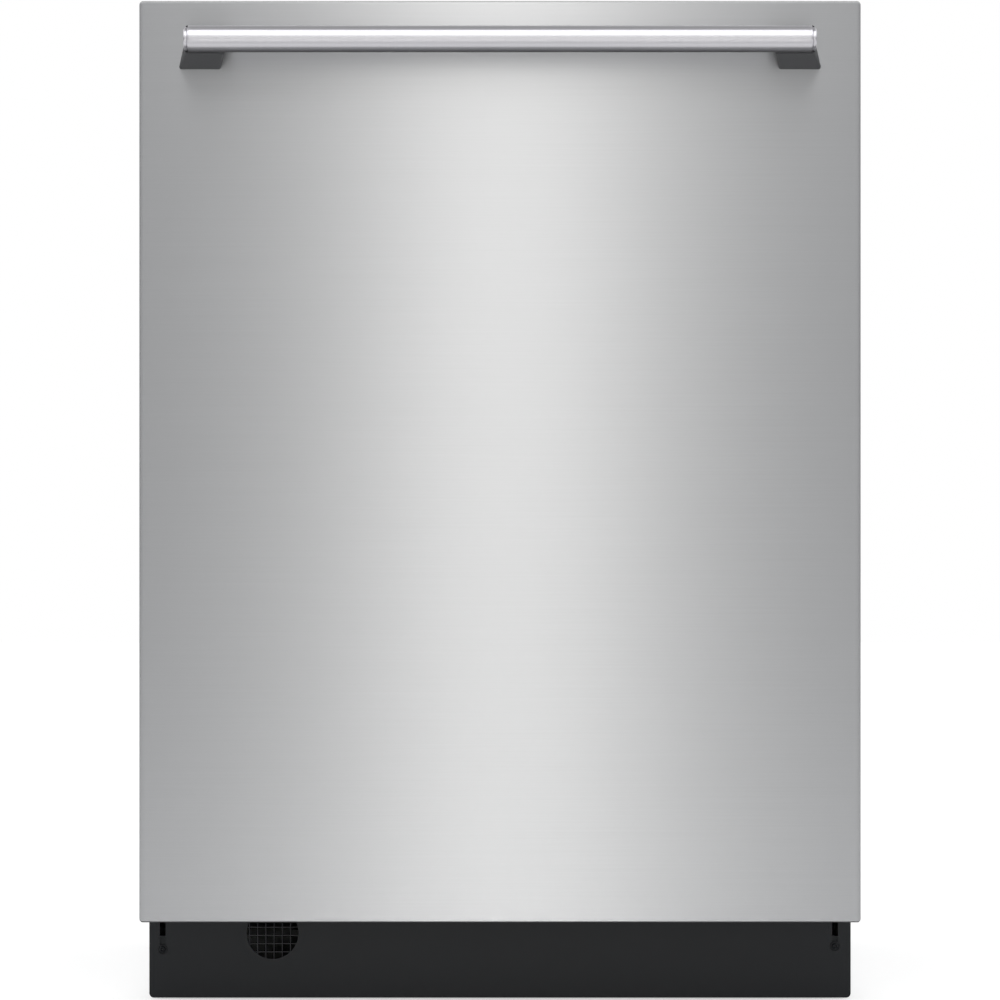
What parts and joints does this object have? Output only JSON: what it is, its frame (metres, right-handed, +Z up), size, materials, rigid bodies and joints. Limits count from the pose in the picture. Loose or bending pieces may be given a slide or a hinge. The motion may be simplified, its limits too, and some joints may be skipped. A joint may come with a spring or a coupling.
{
  "type": "built-in dishwasher",
  "caption": "Built-in dishwasher with drop-down steel door, tubular bar handle, black toe panel, tub, spray arms and sliding racks.",
  "frame": {"origin": "centre of the part's bounding box, on the floor under the levelling feet", "axes": "+X to the right seen from the front, +Y from the door towards the back, +Z up"},
  "size_m": [0.606, 0.67, 0.848],
  "materials": {
    "door_steel": "satin stainless sheet, brushed across",
    "handle_steel": "polished satin stainless tube",
    "bracket_metal": "satin dark grey casting",
    "kick_black": "satin black powder coat",
    "black_plastic": "fine-grained matt moulding",
    "button_grey": "smooth satin moulding",
    "tub_steel": "bright stainless sheet",
    "frame_steel": "galvanised sheet",
    "rack_coating": "grey nylon coated wire",
    "grey_plastic": "satin moulding",
    "light_plastic": "satin moulding",
    "seal_rubber": "matt black rubber",
    "blanket": "dark bitumen and felt blanket",
    "pump_metal": "die-cast and plated",
    "screw_steel": "dark zinc plated",
    "board_green": "coated circuit board",
    "heater_metal": "sheathed tube"
  },
  "bodies": {
    "chassis": {"tub_wrap": "tub_steel", "tub_back": "tub_steel", "tub_floor": "tub_steel", "door_gasket": "seal_rubber", "insulation_blanket": "blanket", "chassis_frame": "frame_steel", "base_pan": "black_plastic", "kick_plate": "kick_black", "air_grille": "kick_black", "kick_plate_screws": "kick_black", "countertop_tabs": "frame_steel", "latch_striker": "frame_steel", "sump": "grey_plastic", "fine_filter": "tub_steel", "heating_element": "heater_metal", "water_duct": "light_plastic", "wash_pump": "pump_metal", "drain_pump": "pump_metal", "drain_line": "light_plastic", "inlet_valve": "light_plastic", "power_box": "frame_steel", "wall_rollers": "light_plastic", "balance_springs": "screw_steel"},
    "door": {"door_outer_panel": "door_steel", "door_liner": "tub_steel", "door_insulation": "blanket", "handle_bar": "handle_steel", "handle_end_caps": "handle_steel", "handle_brackets": "bracket_metal", "handle_bolts": "screw_steel", "control_panel": "black_plastic", "control_board": "board_green", "door_latch": "grey_plastic", "dispenser_body": "grey_plastic", "hinge_arms": "frame_steel"},
    "spring_links": {"spring_links": "frame_steel"},
    "detergent_lid": {"detergent_lid": "light_plastic"},
    "rinse_aid_cap": {"rinse_aid_cap": "light_plastic"},
    "power_button": {"power_button": "button_grey"},
    "cycle_button": {"cycle_button": "button_grey"},
    "options_button": {"options_button": "button_grey"},
    "start_button": {"start_button": "button_grey"},
    "filter_cup": {"filter_cup": "grey_plastic"},
    "float_switch": {"float_switch": "grey_plastic"},
    "lower_spray_arm": {"lower_spray_arm": "grey_plastic"},
    "front_left_foot": {"front_left_foot": "black_plastic"},
    "front_right_foot": {"front_right_foot": "black_plastic"},
    "rear_left_foot": {"rear_left_foot": "black_plastic"},
    "rear_right_foot": {"rear_right_foot": "black_plastic"},
    "lower_rack": {"lower_rack": "rack_coating"},
    "lower_front_wheels": {"lower_front_wheels": "grey_plastic"},
    "lower_rear_wheels": {"lower_rear_wheels": "grey_plastic"},
    "folding_tines": {"folding_tines": "rack_coating"},
    "silverware_basket": {"silverware_basket": "grey_plastic"},
    "upper_rails": {"upper_rails": "tub_steel"},
    "upper_rack": {"upper_rack": "rack_coating", "upper_rack_rollers": "light_plastic", "upper_manifold": "grey_plastic"},
    "upper_spray_arm": {"upper_spray_arm": "grey_plastic"},
    "cup_shelf": {"cup_shelf": "grey_plastic"}
  },
  "joints": [
    {"name": "door_hinge", "type": "hinge", "parent": "chassis", "child": "door", "pos_m": [0, -0.234, 0.112], "axis": [1, 0, 0], "range_deg": [0, 90], "stiffness_Nm_per_rad": 24},
    {"name": "spring_pull", "type": "slide", "parent": "chassis", "child": "spring_links", "axis": [0, -1, 0], "range_m": [0, 0.0158], "deforming": ["balance_springs"]},
    {"name": "detergent_lid_slide", "type": "slide", "parent": "door", "child": "detergent_lid", "axis": [0, 0, -1], "range_m": [0, 0.072]},
    {"name": "rinse_aid_cap_twist", "type": "hinge", "parent": "door", "child": "rinse_aid_cap", "pos_m": [0.048, -0.215, 0.462], "axis": [0, 1, 0], "range_deg": [0, 90]},
    {"name": "power_button_press", "type": "slide", "parent": "door", "child": "power_button", "axis": [0, 0, -1], "range_m": [0, 0.0015], "stiffness_N_per_m": 900, "springref_m": -0.0012},
    {"name": "cycle_button_press", "type": "slide", "parent": "door", "child": "cycle_button", "axis": [0, 0, -1], "range_m": [0, 0.0015], "stiffness_N_per_m": 900, "springref_m": -0.0012},
    {"name": "options_button_press", "type": "slide", "parent": "door", "child": "options_button", "axis": [0, 0, -1], "range_m": [0, 0.0015], "stiffness_N_per_m": 900, "springref_m": -0.0012},
    {"name": "start_button_press", "type": "slide", "parent": "door", "child": "start_button", "axis": [0, 0, -1], "range_m": [0, 0.0015], "stiffness_N_per_m": 900, "springref_m": -0.0012},
    {"name": "filter_cup_twist", "type": "hinge", "parent": "chassis", "child": "filter_cup", "pos_m": [0.032, 0.026, 0.107], "axis": [0, 0, 1], "range_deg": [0, 60]},
    {"name": "float_lift", "type": "slide", "parent": "chassis", "child": "float_switch", "axis": [0, 0, 1], "range_m": [0, 0.01]},
    {"name": "lower_arm_spin", "type": "hinge", "parent": "chassis", "child": "lower_spray_arm", "pos_m": [0, 0.044, 0.124], "axis": [0, 0, 1], "continuous": true},
    {"name": "lower_rack_slide", "type": "slide", "parent": "chassis", "child": "lower_rack", "axis": [0, -1, 0], "range_m": [0, 0.12001]},
    {"name": "lower_front_wheels_roll", "type": "hinge", "parent": "lower_rack", "child": "lower_front_wheels", "pos_m": [0, -0.058, 0.1463], "axis": [1, 0, 0], "range_deg": [0, 404.6]},
    {"name": "lower_rear_wheels_roll", "type": "hinge", "parent": "lower_rack", "child": "lower_rear_wheels", "pos_m": [0, 0.196, 0.1463], "axis": [1, 0, 0], "range_deg": [0, 404.6]},
    {"name": "folding_tines_fold", "type": "hinge", "parent": "lower_rack", "child": "folding_tines", "pos_m": [0, 0.04, 0.16035], "axis": [-1, 0, 0], "range_deg": [0, 82]},
    {"name": "silverware_basket_lift", "type": "slide", "parent": "lower_rack", "child": "silverware_basket", "axis": [0, 0, 1], "range_m": [0, 0.06]},
    {"name": "upper_rails_slide", "type": "slide", "parent": "chassis", "child": "upper_rails", "axis": [0, -1, 0], "range_m": [0, 0.22501]},
    {"name": "upper_rack_slide", "type": "slide", "parent": "upper_rails", "child": "upper_rack", "axis": [0, -1, 0], "range_m": [0, 0.22501]},
    {"name": "upper_arm_spin", "type": "hinge", "parent": "upper_rack", "child": "upper_spray_arm", "pos_m": [0, 0.044, 0.44], "axis": [0, 0, 1], "continuous": true},
    {"name": "cup_shelf_fold", "type": "hinge", "parent": "upper_rack", "child": "cup_shelf", "pos_m": [-0.229, 0.06, 0.546], "axis": [0, -1, 0], "range_deg": [0, 85]},
    {"name": "front_left_foot_level", "type": "slide", "parent": "chassis", "child": "front_left_foot", "axis": [0, 0, -1], "range_m": [0, 0.035]},
    {"name": "front_right_foot_level", "type": "slide", "parent": "chassis", "child": "front_right_foot", "axis": [0, 0, -1], "range_m": [0, 0.035]},
    {"name": "rear_left_foot_level", "type": "slide", "parent": "chassis", "child": "rear_left_foot", "axis": [0, 0, -1], "range_m": [0, 0.035]},
    {"name": "rear_right_foot_level", "type": "slide", "parent": "chassis", "child": "rear_right_foot", "axis": [0, 0, -1], "range_m": [0, 0.035]}
  ],
  "couplings": [
    {"joint": "spring_pull", "follows": "door_hinge", "m_per_rad": 0.01},
    {"joint": "upper_rails_slide", "follows": "door_hinge", "m_per_rad": 0.14324},
    {"joint": "upper_rack_slide", "follows": "door_hinge", "m_per_rad": 0.14324},
    {"joint": "lower_rack_slide", "follows": "door_hinge", "m_per_rad": 0.076394},
    {"joint": "lower_front_wheels_roll", "follows": "door_hinge", "ratio": 4.4938},
    {"joint": "lower_rear_wheels_roll", "follows": "door_hinge", "ratio": 4.4938}
  ]
}
